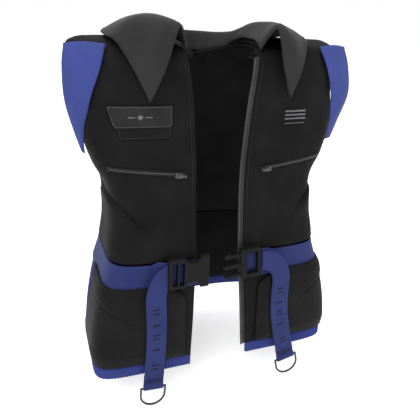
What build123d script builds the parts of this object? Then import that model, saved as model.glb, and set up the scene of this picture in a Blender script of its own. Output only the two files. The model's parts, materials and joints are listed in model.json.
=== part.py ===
"""Sleeveless water-sports flotation vest, worn shape, front open, side-release waist buckle undone.

Frame, millimetres: +Z up, the chest faces -Y, +X is the wearer's left. The origin is the centre of
the neck opening at the height of the shoulder seams, so almost everything lies below Z = 0.
"""
from math import cos, pi, radians, sin
import os

from build123d import *

# ---------------------------------------------------------------- driving dimensions
HEM_Z = -520.0          # lower edge of the ribbed hem
RIB_HEIGHT = 22.0       # ribbed knit hem
BELT_LOW = -361.0       # waist webbing
BELT_HIGH = -315.0
SHELL = 2.2             # outer fabric
FOAM = 8.0              # flotation foam
LINING = 1.4            # inner fabric
PLY_GAP = 0.2           # air between sewn layers
SEAM_MARGIN = 13.0      # foam stops this far inside each panel's edge
WEBBING = 2.0           # thickness of every webbing strap
TAIL_WIDTH = 32.0       # loose strap tails
RING_WIRE = 1.8         # radius of the D-ring wire
RING_BAR = 42.0         # D-ring width between wire centres
RING_DROP = 36.0        # D-ring height between wire centres
HINGE_GAP = 0.9         # webbing left out each side of a strap's bend
RUNNING = 0.08          # radial clearance of a wire in its webbing loop

# Trunk outlines: height, half width, front depth, back depth, squareness in front and behind.
LEVELS = [
    (-520.0, 217.0, 127.0, 120.0, 8.0, 2.7),
    (-499.0, 216.0, 126.0, 119.0, 8.0, 2.7),
    (-427.0, 207.0, 123.0, 116.0, 7.6, 2.5),
    (-361.0, 193.0, 118.0, 112.0, 7.4, 2.4),
    (-313.0, 181.5, 114.0, 110.0, 7.0, 2.3),
    (-260.0, 177.0, 107.0, 108.0, 6.4, 2.4),
    (-204.0, 174.5, 98.0, 105.0, 5.7, 2.7),
    (-160.0, 192.0, 94.0, 103.0, 5.5, 3.4),
    (-114.0, 207.0, 88.0, 99.0, 5.0, 3.6),
    (-60.0, 213.0, 83.0, 92.0, 4.2, 3.4),
    (-20.0, 219.0, 78.0, 79.0, 3.6, 3.1),
    (5.0, 222.0, 66.0, 60.0, 2.9, 2.6),
    (15.0, 218.0, 40.0, 37.0, 2.4, 2.2),
]
FLAT_BELOW = -60.0      # below this height a ply's thickness is horizontal only
OUTLINE_POINTS = 20

# Front opening: distance of each front's centre edge from the middle plane at each height.
RIGHT_EDGE = [(-520, 54), (-499, 53), (-361, 47), (-313, 45), (-240, 44), (-163, 43), (-65, 47), (30, 60)]
LEFT_EDGE = [(-520, 47), (-499, 46), (-361, 36), (-313, 32), (-240, 32.5), (-163, 34.5), (-65, 45.5),
             (30, 60)]
FRONT_LIMIT = -150      # in front of everything sewn on the skin
BACK_LIMIT = 150
FAR = 260.0             # beyond either side
# Neck opening seen from above: one half of its edge, from the middle of the back to the middle in front.
NECK_EDGE = [(0, 70), (30, 65), (48, 56), (61, 41), (67, 14), (66, -36), (58, -62), (0, -84)]
NECK_LOW = -22.0
NECK_HEIGHT = 60.0
ARMHOLE_Y = 5.0         # centre of the armhole, seen from the side
ARMHOLE_Z = -80.0
ARMHOLE_HALF_Y = 58.0
ARMHOLE_HALF_Z = 80.0
ARMHOLE_INNER_X = 150.0
SIDE_RIB_FRONT = -14.0  # knitted gusset at each side of the skirt
SIDE_RIB_BACK = 18.0


def write(piece, name):
    """Label a finished piece and export it."""
    piece.label = name
    export_step(piece, f"parts/{name}.step")


def outline(level, grow):
    """Points of a rounded, squarish horizontal outline, grown outwards."""
    z, half, front, back, front_power, back_power = level
    points = []
    for step in range(OUTLINE_POINTS):
        turn = 2 * pi * step / OUTLINE_POINTS
        c, s = cos(turn), sin(turn)
        power = back_power if s >= 0 else front_power
        x = (half + grow) * abs(c) ** (2 / power) * (1 if c >= 0 else -1)
        depth = back if s >= 0 else front
        y = (depth + grow) * abs(s) ** (2 / power) * (1 if s >= 0 else -1)
        points.append((x, y, z))
    return points


def torso(grow):
    """The whole trunk as one closed solid, its skin grown outwards by grow (negative: inwards)."""
    with BuildPart() as trunk:
        for level in LEVELS:
            upward = max(0.0, (level[0] - FLAT_BELOW) / (LEVELS[-1][0] - FLAT_BELOW)) ** 1.5
            with BuildSketch(Plane.XY.offset(level[0] + grow * upward)):
                with BuildLine():
                    Spline([(x, y) for x, y, _ in outline(level, grow)], periodic=True)
                make_face()
        loft()
    return trunk.part


def front_view(points, y_low, y_high):
    """A prism with the given outline seen from the front (X, Z), between two depths."""
    with BuildPart() as prism:
        with BuildSketch(Plane.XZ.offset(-y_high)):
            with BuildLine():
                Polyline(points, close=True)
            make_face()
        extrude(amount=y_high - y_low)
    return prism.part


def layer(outer, inner):
    """Fabric between two skins of the trunk."""
    with BuildPart() as ply:
        add(outer)
        add(inner, mode=Mode.SUBTRACT)
    return ply.part


def skin_y(x, z, grow=0.0):
    """Depth of the chest-side skin at a place, from the two outlines around its height."""
    for low, high in zip(LEVELS, LEVELS[1:]):
        if low[0] <= z <= high[0]:
            share = (z - low[0]) / (high[0] - low[0])
            half, front, power = (low[i] + share * (high[i] - low[i]) for i in (1, 2, 4))
            break
    inside = max(0.0, 1 - (abs(x) / (half + grow)) ** power)
    return -(front + grow) * inside ** (1 / power)


def front_edge(side, z):
    """Distance of a front's centre edge from the middle plane."""
    edge = LEFT_EDGE if side > 0 else RIGHT_EDGE
    for (low, x_low), (high, x_high) in zip(edge, edge[1:]):
        if low <= z <= high:
            return x_low + (x_high - x_low) * (z - low) / (high - low)
    return edge[-1][1]


def edge_points(side, z_low, z_high, shift=0.0):
    """The centre edge of one front between two heights, bottom to top, moved outwards by shift."""
    inner = [z for z, _ in RIGHT_EDGE if z_low < z < z_high]
    return [(side * (front_edge(side, z) + shift), z) for z in (z_low, *inner, z_high)]


def cut(ply, *tools, keep=None):
    """Subtract tools from a ply, then keep only what lies in the prism keep."""
    with BuildPart() as piece:
        add(ply)
        if keep is not None:
            add(keep, mode=Mode.INTERSECT)
        for tool in tools:
            add(tool, mode=Mode.SUBTRACT)
    return piece.part


def sheet(name, stations, thickness):
    """A thin ruled sheet lofted through stations, each a pair of edge points (near, far)."""
    rows = [(Vector(*a), Vector(*b)) for a, b in stations]
    middles = [(a + b) / 2 for a, b in rows]
    with BuildPart() as ply:
        for i, (a, b) in enumerate(rows):
            ahead = middles[min(i + 1, len(rows) - 1)]
            behind = middles[max(i - 1, 0)]
            across = (b - a).normalized()
            along = (ahead - behind).normalized()
            along = (along - across * along.dot(across)).normalized()
            with BuildSketch(Plane(middles[i], x_dir=across, z_dir=along)):
                Rectangle((b - a).length, thickness)
        loft()
    write(ply.part, name)


SIDES = {"right": -1, "left": 1}
BODY_LOW = HEM_Z + RIB_HEIGHT + PLY_GAP
WAIST_JOIN = (BELT_LOW + BELT_HIGH) / 2

os.makedirs("parts", exist_ok=True)

# ---------------------------------------------------------------- skins and cutters
DEPTH = SHELL + FOAM + LINING + 2 * PLY_GAP
skin = {grow: torso(grow) for grow in (0, -SHELL, -SHELL - PLY_GAP, -SHELL - PLY_GAP - FOAM,
                                       -DEPTH + LINING, -DEPTH)}

with BuildPart() as armholes:
    for plane in (Plane.YZ.offset(ARMHOLE_INNER_X), Plane.YZ.offset(-FAR)):
        with BuildSketch(plane):
            with Locations((ARMHOLE_Y, ARMHOLE_Z)):
                Ellipse(ARMHOLE_HALF_Y, ARMHOLE_HALF_Z)
        extrude(amount=FAR - ARMHOLE_INNER_X)

with BuildPart() as neck:
    with BuildSketch(Plane.XY.offset(NECK_LOW)):
        with BuildLine():
            Spline(NECK_EDGE + [(-x, y) for x, y in NECK_EDGE[-2:0:-1]], periodic=True)
        make_face()
    extrude(amount=NECK_HEIGHT)


def region(side, z_low, z_high, y_low, y_high, margin=0.0):
    """Prism over one front: from its centre edge outwards, between heights and depths."""
    points = edge_points(side, z_low, z_high, margin)
    points += [(side * FAR, z_high), (side * FAR, z_low)]
    return front_view(points, y_low, y_high)


def block(z_low, z_high, y_low, y_high):
    """Prism over the whole width between heights and depths."""
    return front_view([(-FAR, z_low), (FAR, z_low), (FAR, z_high), (-FAR, z_high)], y_low, y_high)


# ---------------------------------------------------------------- upper body: shells, foam, linings
shell_ply = layer(skin[0], skin[-SHELL])
foam_ply = layer(skin[-SHELL - PLY_GAP], skin[-SHELL - PLY_GAP - FOAM])
lining_ply = layer(skin[-DEPTH + LINING], skin[-DEPTH])
skirt_ply = layer(skin[0], skin[-DEPTH])

with BuildPart() as foam_armholes:
    for plane in (Plane.YZ.offset(ARMHOLE_INNER_X), Plane.YZ.offset(-FAR)):
        with BuildSketch(plane):
            with Locations((ARMHOLE_Y, ARMHOLE_Z)):
                Ellipse(ARMHOLE_HALF_Y + SEAM_MARGIN, ARMHOLE_HALF_Z + SEAM_MARGIN)
        extrude(amount=FAR - ARMHOLE_INNER_X)

UPPER_TOP = 40.0
FOAM_LOW = BELT_HIGH + SEAM_MARGIN
FOAM_HIGH = -34.0
SIDE_SEAM = 0.2
for word, side in SIDES.items():
    front = region(side, WAIST_JOIN + PLY_GAP, UPPER_TOP, FRONT_LIMIT, -SIDE_SEAM)
    write(cut(shell_ply, armholes.part, neck.part, keep=front), f"front_shell_{word}")
    write(cut(lining_ply, armholes.part, neck.part, keep=front), f"front_lining_{word}")
    pad = region(side, FOAM_LOW, FOAM_HIGH, FRONT_LIMIT, -SEAM_MARGIN, SEAM_MARGIN)
    write(cut(foam_ply, foam_armholes.part, keep=pad), f"flotation_foam_{word}")

back = block(WAIST_JOIN + PLY_GAP, UPPER_TOP, SIDE_SEAM, BACK_LIMIT)
write(cut(shell_ply, armholes.part, neck.part, keep=back), "back_shell")
write(cut(lining_ply, armholes.part, neck.part, keep=back), "back_lining")
write(cut(foam_ply, foam_armholes.part, keep=block(FOAM_LOW, FOAM_HIGH, SEAM_MARGIN, BACK_LIMIT)),
      "flotation_foam_back")

# ---------------------------------------------------------------- skirt below the waist, and its ribs
for word, side in SIDES.items():
    skirt = region(side, BODY_LOW, WAIST_JOIN, FRONT_LIMIT, SIDE_RIB_FRONT - PLY_GAP)
    write(cut(skirt_ply, keep=skirt), f"skirt_{word}")
    gusset = region(side, BODY_LOW, WAIST_JOIN, SIDE_RIB_FRONT, SIDE_RIB_BACK)
    write(cut(skirt_ply, keep=gusset), f"side_rib_{word}")
    hem = region(side, HEM_Z, HEM_Z + RIB_HEIGHT, FRONT_LIMIT, -SIDE_SEAM)
    write(cut(skirt_ply, keep=hem), f"hem_rib_{word}")
write(cut(skirt_ply, keep=block(BODY_LOW, WAIST_JOIN, SIDE_RIB_BACK + PLY_GAP, BACK_LIMIT)), "skirt_back")
write(cut(skirt_ply, keep=block(HEM_Z, HEM_Z + RIB_HEIGHT, SIDE_SEAM, BACK_LIMIT)), "hem_rib_back")

# ---------------------------------------------------------------- plies that follow the skin
ON_SKIN = 0.4           # inner face of whatever is sewn on the skin
FIRST_PLY = 2.0         # outer face of belt, zip tapes and patch pocket
SECOND_PLY = 2.2        # inner face of zip teeth and flap
SECOND_TOP = 3.8
POCKET_PROUD = 7.0      # padded skirt pockets stand this far out
TAPE_WIDTH = 9.0
TEETH_WIDTH = 3.0
INSIDE = -DEPTH - PLY_GAP
INSIDE_TAPE = INSIDE - 1.4
INSIDE_TEETH = INSIDE_TAPE - PLY_GAP
INSIDE_TOP = INSIDE_TEETH - 1.6
for grow in (ON_SKIN, FIRST_PLY, SECOND_PLY, SECOND_TOP, POCKET_PROUD,
             INSIDE, INSIDE_TAPE, INSIDE_TEETH, INSIDE_TOP):
    skin[grow] = torso(grow)


def on_skin(name, prism, inner, outer, *tools):
    """Whatever lies between two skins inside a prism."""
    write(cut(skin[outer], skin[inner], *tools, keep=prism), name)


# Waist webbing: one length all round, from front edge to front edge, beside the zip tape on the left.
TAPE_LAP = 2.0          # zip tape sewn on the left front; the rest stands free
BELT_SHORT = 4.0        # the webbing stops this far from the left front's edge
SPARE = 5.0
belt_gap = front_view([(-front_edge(-1, BELT_LOW), BELT_LOW - SPARE),
                       (front_edge(1, BELT_LOW) + BELT_SHORT, BELT_LOW - SPARE),
                       (front_edge(1, BELT_HIGH) + BELT_SHORT, BELT_HIGH + SPARE),
                       (-front_edge(-1, BELT_HIGH), BELT_HIGH + SPARE)], FRONT_LIMIT, 0)
on_skin("waist_belt", block(BELT_LOW, BELT_HIGH, FRONT_LIMIT, BACK_LIMIT), ON_SKIN, FIRST_PLY, belt_gap)

# Front zip: the wearer's left half shows on the edge, the right half is under its fold.
ZIP_LOW = -496.0
ZIP_HIGH = -5.0


def strip(side, z_low, z_high, near, far, y_low=FRONT_LIMIT, y_high=0):
    """Prism along a front's centre edge, between two distances from it."""
    return front_view(edge_points(side, z_low, z_high, near) + edge_points(side, z_low, z_high, far)[::-1],
                      y_low, y_high)


PIN_HEIGHT = 13.8
BOX_HEIGHT = 8.0
TAPE_FREE = 7.0         # tape and coil stand this far beyond the left front's edge
tape_edge = -TAPE_FREE
teeth_end = tape_edge + TEETH_WIDTH
on_skin("zip_tape_left", strip(1, ZIP_LOW, ZIP_HIGH, tape_edge, TAPE_LAP), ON_SKIN, FIRST_PLY)
on_skin("zip_teeth_left", strip(1, ZIP_LOW + PIN_HEIGHT + PLY_GAP, ZIP_HIGH - 4, tape_edge, teeth_end),
        SECOND_PLY, SECOND_TOP)
on_skin("zip_pin", strip(1, ZIP_LOW, ZIP_LOW + PIN_HEIGHT, tape_edge, teeth_end), SECOND_PLY, SECOND_TOP)
on_skin("zip_tape_right", strip(-1, ZIP_LOW, ZIP_HIGH, 0, TAPE_WIDTH + 3), INSIDE_TAPE, INSIDE)
on_skin("zip_teeth_right", strip(-1, ZIP_LOW + BOX_HEIGHT + PLY_GAP, ZIP_HIGH - 4, 0, TEETH_WIDTH),
        INSIDE_TOP, INSIDE_TEETH)
on_skin("zip_box", strip(-1, ZIP_LOW, ZIP_LOW + BOX_HEIGHT, 0, TEETH_WIDTH + 4), INSIDE_TOP, INSIDE_TEETH)

# Padded skirt pockets and their slanted mouths.
POCKET_INNER = 66.0
POCKET_TOP = BELT_LOW - 6
POCKET_LOW = BODY_LOW + 5
for word, side in SIDES.items():
    corners = [(POCKET_INNER, POCKET_LOW), (POCKET_INNER, POCKET_TOP - 14), (POCKET_INNER + 50, POCKET_TOP),
               (FAR, POCKET_TOP), (FAR, POCKET_LOW)]
    mouth = front_view([(side * x, z) for x, z in corners], FRONT_LIMIT, SIDE_RIB_FRONT - 3)
    on_skin(f"skirt_pocket_{word}", mouth, ON_SKIN, POCKET_PROUD)

# Chest zips: tape, coil, slider and pull on each side, rising outwards.
CHEST_INNER = (63.0, -175.5)
CHEST_OUTER = (179.0, -161.5)
CHEST_TAPE = 7.0
CHEST_COIL = 2.6
CHEST_START = 75.0
CHEST_STOP = 140.0
CHEST_LIFT = 0.5        # the slider's straight run clears the bulge of the chest
CHEST_RISE = (CHEST_OUTER[1] - CHEST_INNER[1]) / (CHEST_OUTER[0] - CHEST_INNER[0])


def chest_line(x):
    """Height of the chest zip's centre line."""
    return CHEST_INNER[1] + CHEST_RISE * (x - CHEST_INNER[0])


def chest_strip(side, height, trim):
    """Prism along a chest zip."""
    low, high = CHEST_INNER[0] + trim, CHEST_OUTER[0] - trim
    corners = [(low, -height / 2), (high, -height / 2), (high, height / 2), (low, height / 2)]
    return front_view([(side * x, chest_line(x) + dz) for x, dz in corners], FRONT_LIMIT, -20)


def zip_slider(name, pull_name, place, tab_length):
    """A C-shaped slider over its coil with a bridge pin, and the pull on that pin.

    place: origin on the skin, x along the coil away from the pull, z out of the cloth.
    """
    length, width, plate_low, plate_high, foot = 10.0, 8.0, 5.6, 7.4, 3.6
    groove, pin_height, pin_radius, barrel, gap = 4.4, 9.3, 0.7, 1.5, 0.3
    with BuildPart() as slider:
        with BuildSketch(place.offset(foot)):
            RectangleRounded(length, width, 1.2)
        extrude(amount=plate_high - foot)
        with BuildSketch(place.offset(foot)):
            Rectangle(length + 1, groove)
        extrude(amount=plate_low - foot, mode=Mode.SUBTRACT)
        with BuildSketch(place.offset(plate_high)):
            with GridLocations(0, 6.0, 1, 2):
                Rectangle(2.4, 1.4)
        extrude(amount=pin_height + pin_radius - plate_high)
        pin_end = place.from_local_coords(Vector(0, -2.8, pin_height))
        with BuildSketch(Plane(pin_end, x_dir=place.x_dir, z_dir=place.y_dir)):
            Circle(pin_radius)
        extrude(amount=5.6)
    write(slider.part, name)
    barrel_end = place.from_local_coords(Vector(0, -2.3 + gap, pin_height))
    across = Plane(barrel_end, x_dir=place.x_dir, z_dir=place.y_dir)
    middle = place.offset(pin_height)
    with BuildPart() as pull:
        with BuildSketch(across):
            Circle(barrel)
        extrude(amount=2 * (2.3 - gap))
        with BuildSketch(middle.offset(-0.6)):
            with Locations((-tab_length / 2 - 0.5, 0)):
                RectangleRounded(tab_length - 1, 4.0, 1.4)
            with Locations((-tab_length + 3.5, 0)):
                Circle(0.9, mode=Mode.SUBTRACT)
        extrude(amount=1.2)
        with BuildSketch(across):
            Circle(pin_radius + RUNNING)
        extrude(amount=2 * (2.3 - gap), mode=Mode.SUBTRACT)
    write(pull.part, pull_name)


for word, side in SIDES.items():
    on_skin(f"chest_zip_tape_{word}", chest_strip(side, CHEST_TAPE, 0), ON_SKIN, FIRST_PLY)
    on_skin(f"chest_zip_coil_{word}", chest_strip(side, CHEST_COIL, 4), SECOND_PLY, SECOND_TOP)
    start, stop = (Vector(side * x, skin_y(x, chest_line(x)) - CHEST_LIFT, chest_line(x))
                   for x in (CHEST_START, CHEST_STOP))
    along = (stop - start).normalized()
    outward = (Vector(0, -1, 0) - along * Vector(0, -1, 0).dot(along)).normalized()
    place = Plane(start, x_dir=along, z_dir=outward)
    zip_slider(f"chest_zip_slider_{word}", f"chest_zip_pull_{word}", place, 12)
    pin = place.from_local_coords(Vector(0, 0, 9.3))
    print(f"chest slide {word}: axis", along, "travel", (stop - start).length)
    print(f"chest pull {word}: axis", place.y_dir, "at", pin)

# Front zip slider, parked on the right half's box inside the fold.
SLIDER_Z = -478.0
SLIDER_TOP_Z = -370.0


def inside_coil(z):
    """Middle of the hidden coil at a height."""
    x = front_edge(-1, z) + TEETH_WIDTH / 2
    return Vector(-x, skin_y(x, z, -DEPTH), z)


start, stop = inside_coil(SLIDER_Z), inside_coil(SLIDER_TOP_Z)
along = (stop - start).normalized()
outward = (Vector(0, 1, 0) - along * Vector(0, 1, 0).dot(along)).normalized()
place = Plane(start, x_dir=along, z_dir=outward)
zip_slider("zip_slider", "zip_pull", place, 30)
print("zip slide: axis", along, "travel", (stop - start).length)
print("zip pull: axis", place.y_dir, "at", place.from_local_coords(Vector(0, 0, 9.3)))

# Patch pocket on the wearer's right chest, and its flap.
POCKET_PATCH = [(84, -76), (84, -114), (89, -119.5), (157, -118.5), (163, -112), (168, -76)]
FLAP = [(83, -72), (83, -97), (87, -101.5), (162, -102.5), (167, -98.5), (175, -72)]
for name, shape, inner, outer in (("chest_pocket", POCKET_PATCH, ON_SKIN, FIRST_PLY),
                                  ("chest_pocket_flap", FLAP, SECOND_PLY, SECOND_TOP)):
    on_skin(name, front_view([(-x, z) for x, z in shape], FRONT_LIMIT, -20), inner, outer)
flap_ends = [Vector(-x, skin_y(x, FLAP[0][1], SECOND_TOP), FLAP[0][1]) for x in (FLAP[0][0], FLAP[-1][0])]
flap_axis = (flap_ends[0] - flap_ends[1]).normalized()
print("flap hinge: axis", flap_axis, "through", flap_ends[0] + Vector(0, -2.6, 0))

# ---------------------------------------------------------------- collar, cap sleeves, hang loop
PLY = 2.4
right_stand = [((56, -71, 8), (66, -89, 31)), ((62, -36, 18), (80, -50, 40)), ((63, 14, 17), (78, 16, 38)),
               ((57, 38, 10), (68, 40, 30)), ((44, 52, 0), (50, 57, 21))]
right_leaf = [((73, -96, 40), (113, -90, -64)), ((80, -83, 46), (137, -87, -22)),
              ((87, -55, 48), (163, -63, 13)), ((89, -22, 48), (172, -30, 23)),
              ((84, 18, 46), (168, 30, 22)), ((74, 44, 37), (138, 66, 6)), ((55, 64, 28), (86, 87, -18))]


def mirrored(half, middle):
    """Stations from the right-hand end round the back to the left-hand end."""
    right = [tuple((-x, y, z) for x, y, z in pair) for pair in half]
    return right + [middle] + half[::-1]


sheet("collar_stand", mirrored(right_stand, ((0, 66, -9), (0, 70, 14))), PLY)
sheet("collar_leaf", mirrored(right_leaf, ((0, 77, 22), (0, 95, -30))), PLY)

cap_right = [((206, -47, -146), (211, -44, -144)), ((207, -57, -116), (222, -43, -112)),
             ((197, -68, -64), (230, -52, -66)), ((184, -69, -22), (230, -50, -20)),
             ((176, -57, 9), (224, -46, 9))]
sheet("cap_sleeve_right", [tuple((-x, y, z) for x, y, z in pair) for pair in cap_right], PLY)
sheet("cap_sleeve_left", cap_right[::-1], PLY)

with BuildPart() as hang_loop:
    with BuildSketch(Plane.XZ.offset(-65)):
        with BuildLine():
            right_half = [(10, -12), (17, -21), (17, -31), (15.4, -31), (15.4, -21.6), (9.3, -13.6)]
            Polyline(right_half + [(-x, z) for x, z in reversed(right_half)], close=True)
        make_face()
    extrude(amount=7)
write(hang_loop.part, "hang_loop")

# ---------------------------------------------------------------- waist buckle
BUCKLE_Z = -326.0
BUCKLE_THICK = 10.0
SOCKET_FRONT = -139.0
SOCKET_X = (-99.0, -69.0, -48.0, -32.0)     # frame, neck, flare, mouth
FRAME_HALF = 27.0
NECK_HALF = 18.5
FLARE_HALF = 28.5
frame_x, neck_x, flare_x, mouth_x = SOCKET_X
with BuildPart() as socket:
    with BuildSketch(Plane.XZ.offset(-SOCKET_FRONT - BUCKLE_THICK)):
        with BuildLine():
            upper = [(frame_x, FRAME_HALF), (neck_x - 3, FRAME_HALF), (neck_x + 2, NECK_HALF + 2),
                     (neck_x + 5, NECK_HALF), (flare_x - 4, NECK_HALF), (flare_x, NECK_HALF + 3),
                     (flare_x + 2, FLARE_HALF), (mouth_x, FLARE_HALF)]
            lower = [(x, -z) for x, z in reversed(upper)]
            Polyline([(x, BUCKLE_Z + z) for x, z in upper + lower], close=True)
        make_face()
    extrude(amount=BUCKLE_THICK)
    chamfer(socket.faces().sort_by(Axis.Y)[0].edges(), 1.6)
    with BuildSketch(Plane.XZ.offset(-SOCKET_FRONT - BUCKLE_THICK - 1)):
        for slot_x in (-88.8, -77.6):
            with Locations((slot_x, BUCKLE_Z)):
                Rectangle(8.2, 40)
    extrude(amount=BUCKLE_THICK + 2, mode=Mode.SUBTRACT)
    with BuildSketch(Plane.XZ.offset(-SOCKET_FRONT - BUCKLE_THICK + 2.2)):
        with Locations(((mouth_x + flare_x) / 2, BUCKLE_Z)):
            Rectangle(mouth_x - flare_x, 2 * FLARE_HALF - 7)
        with Locations(((flare_x + neck_x) / 2 + 4, BUCKLE_Z)):
            Rectangle(flare_x - neck_x - 6, 2 * NECK_HALF - 7)
    extrude(amount=BUCKLE_THICK - 4.4, mode=Mode.SUBTRACT)
write(socket.part, "buckle_socket")

PLUG_TILT = -5.0
PLUG_CENTRE = Vector(42.6, -126, BUCKLE_Z)
tilt = radians(PLUG_TILT)
plug_x = Vector(cos(tilt), 0, -sin(tilt))
plug_back = Plane(PLUG_CENTRE, x_dir=plug_x, z_dir=(0, -1, 0))
PLUG_HALF_X = 18.0
PLUG_HALF_Z = 28.0
PRONG_REACH = 46.5      # prong tips, from the plug's middle
PRONG_OFFSET = 18.5
PRONG_HALF = 3.0
PRONG_THICK = 5.0
ROOT = (-13.6, 3.5)     # prong root: place and radius
prong_back = plug_back.offset((BUCKLE_THICK - PRONG_THICK) / 2)
with BuildPart() as plug:
    with BuildSketch(plug_back):
        RectangleRounded(2 * PLUG_HALF_X, 2 * PLUG_HALF_Z, 3)
        with Locations((2.7, 0)):
            Rectangle(19.4, 40, mode=Mode.SUBTRACT)
    extrude(amount=BUCKLE_THICK)
    chamfer(plug.faces().sort_by(Axis.Y)[0].edges(), 1.2)
    with BuildSketch(prong_back.offset(-0.2)):
        for level in (-PRONG_OFFSET, PRONG_OFFSET):
            with Locations((ROOT[0], level)):
                Circle(ROOT[1] + 0.1)
            with Locations((-PLUG_HALF_X, level)):
                Rectangle(8.0, 2 * PRONG_HALF + 2.2)
    extrude(amount=PRONG_THICK + 0.4, mode=Mode.SUBTRACT)
    with BuildSketch(prong_back):
        with Locations((-(PLUG_HALF_X + PRONG_REACH) / 2 + 0.5, 0)):
            RectangleRounded(PRONG_REACH - PLUG_HALF_X + 1, 7, 2.6)
    extrude(amount=PRONG_THICK)
write(plug.part, "buckle_plug")

for name, up in (("upper", 1), ("lower", -1)):
    with BuildPart() as prong:
        with BuildSketch(prong_back):
            with BuildLine():
                base = PRONG_OFFSET - PRONG_HALF
                shape = [(ROOT[0], base), (-PRONG_REACH + 4, base + 0.5), (-PRONG_REACH, base + 3),
                         (-PRONG_REACH + 1, PRONG_OFFSET + 2), (-PRONG_REACH + 10, PRONG_OFFSET + 6.5),
                         (-PRONG_REACH + 12, PRONG_OFFSET + PRONG_HALF),
                         (ROOT[0], PRONG_OFFSET + PRONG_HALF)]
                Polyline([(x, up * z) for x, z in shape], close=True)
            make_face()
            with Locations((ROOT[0], up * PRONG_OFFSET)):
                Circle(ROOT[1])
        extrude(amount=PRONG_THICK)
    write(prong.part, f"buckle_prong_{name}")
    root = plug_back.from_local_coords(Vector(ROOT[0], up * PRONG_OFFSET, BUCKLE_THICK / 2))
    print(f"prong {name}: pivot", root)


def ribbon(points, width):
    """Closed outline of a band of even width along a line of points."""
    near, far = [], []
    for i, (x, y) in enumerate(points):
        x0, y0 = points[max(i - 1, 0)]
        x1, y1 = points[min(i + 1, len(points) - 1)]
        run = ((x1 - x0) ** 2 + (y1 - y0) ** 2) ** 0.5
        nx, ny = -(y1 - y0) / run * width / 2, (x1 - x0) / run * width / 2
        near.append((x + nx, y + ny))
        far.append((x - nx, y - ny))
    return near + far[::-1]


# Webbing that ties each buckle half to the belt, seen from above.
BELT_END_HEIGHT = 37.0
belt_ends = {"right": [(-132, -119.9), (-116, -122.6), (-100, -127.2), (-84, -127.9), (-72, -127.9)],
             "left": [(88, -121.2), (76, -121.8), (64, -123.4), (52, -124.6), (38, -124.7)]}
for word, points in belt_ends.items():
    with BuildPart() as belt_end:
        with BuildSketch(Plane.XY.offset(BUCKLE_Z - BELT_END_HEIGHT / 2)):
            with BuildLine():
                Polyline(ribbon(points, WEBBING), close=True)
            make_face()
        extrude(amount=BELT_END_HEIGHT)
    write(belt_end.part, f"belt_end_{word}")

# ---------------------------------------------------------------- loose strap tails with D-rings
TAIL_TOP_Z = -366.0
TAIL_TOP_Y = -134.0
TAIL_LEAN = 5.0 / 176.0
strap_plane = Plane((0, TAIL_TOP_Y, TAIL_TOP_Z), x_dir=(1, 0, 0), z_dir=(0, -1, TAIL_LEAN))
TAILS = {"right": [(-118.5, 0), (-118, -75), (-124.5, -172)], "left": [(104, 0), (107, -72), (129, -170)]}
TURNS = {"right": [(-99.2, 60), (-112, 59.5), (-126, 50), (-134, 34), (-135.5, 0), (-101.5, 0), (-101, 6),
                   (-99.2, 12)],
         "left": [(62.5, 59), (80, 57), (100, 45), (116, 22), (121, 0), (87, 0), (84, 13), (76, 20),
                  (66, 22)]}
LOOP_RADIUS = RING_WIRE + RUNNING + WEBBING


def ring(name, bar, across, down):
    """A D-ring: straight bar across, two legs and a half-round bow."""
    half = RING_BAR / 2
    face = Plane(bar, x_dir=across, z_dir=across.cross(down * -1))
    with BuildPart() as wire:
        with BuildLine(face):
            Line((-half, 0), (-half, half - RING_DROP))
            ThreePointArc((-half, half - RING_DROP), (0, -RING_DROP), (half, half - RING_DROP))
            Line((half, half - RING_DROP), (half, 0))
        with BuildSketch(Plane(face.from_local_coords(Vector(-half, 0, 0)), x_dir=across, z_dir=down)):
            Circle(RING_WIRE)
        sweep()
        with BuildSketch(Plane(face.from_local_coords(Vector(-half, 0, 0)), x_dir=down, z_dir=across)):
            Circle(RING_WIRE)
        extrude(amount=RING_BAR)
        with Locations(*(face.from_local_coords(Vector(x, 0, 0)) for x in (-half, half))):
            Sphere(RING_WIRE)
    write(wire.part, name)


def strap(name, place, points, width, bar, across):
    """Flat webbing along points in a plane, ending in a loop round the ring's bar."""
    with BuildPart() as webbing:
        with BuildSketch(place.offset(-WEBBING / 2)):
            with BuildLine():
                Polyline(ribbon(points, width), close=True)
            make_face()
        extrude(amount=WEBBING)
        loop_start = Plane(bar - across * (width / 2), x_dir=place.z_dir, z_dir=across)
        with BuildSketch(loop_start):
            Circle(LOOP_RADIUS)
        extrude(amount=width)
        with BuildSketch(loop_start.offset(-2)):
            Circle(RING_WIRE + RUNNING)
        extrude(amount=width + 4, mode=Mode.SUBTRACT)
    write(webbing.part, name)


for word, points in TAILS.items():
    with BuildPart() as turn:
        with BuildSketch(strap_plane.offset(-WEBBING / 2)):
            with BuildLine():
                shape = [(x, v + (HINGE_GAP if v == 0 else 0)) for x, v in TURNS[word]]
                Polyline(shape, close=True)
            make_face()
        extrude(amount=WEBBING)
    write(turn.part, f"strap_turn_{word}")
    (x0, v0), (x1, v1) = points[-2:]
    run = Vector(x1 - x0, v1 - v0).normalized()
    end = Vector(x1, v1) + run * (LOOP_RADIUS - 1.2)
    bar = strap_plane.from_local_coords(Vector(end.X, end.Y, 0))
    down = (strap_plane.from_local_coords(Vector(end.X + run.X, end.Y + run.Y, 0)) - bar).normalized()
    across = down.cross(strap_plane.z_dir).normalized()
    tail = [(points[0][0], -HINGE_GAP)] + points[1:]
    strap(f"strap_tail_{word}", strap_plane, tail, TAIL_WIDTH + 2, bar, across)
    ring(f"d_ring_{word}", bar, across, down)
    print(f"tail {word}: bar", bar, "axis", across, "down", down)

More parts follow.
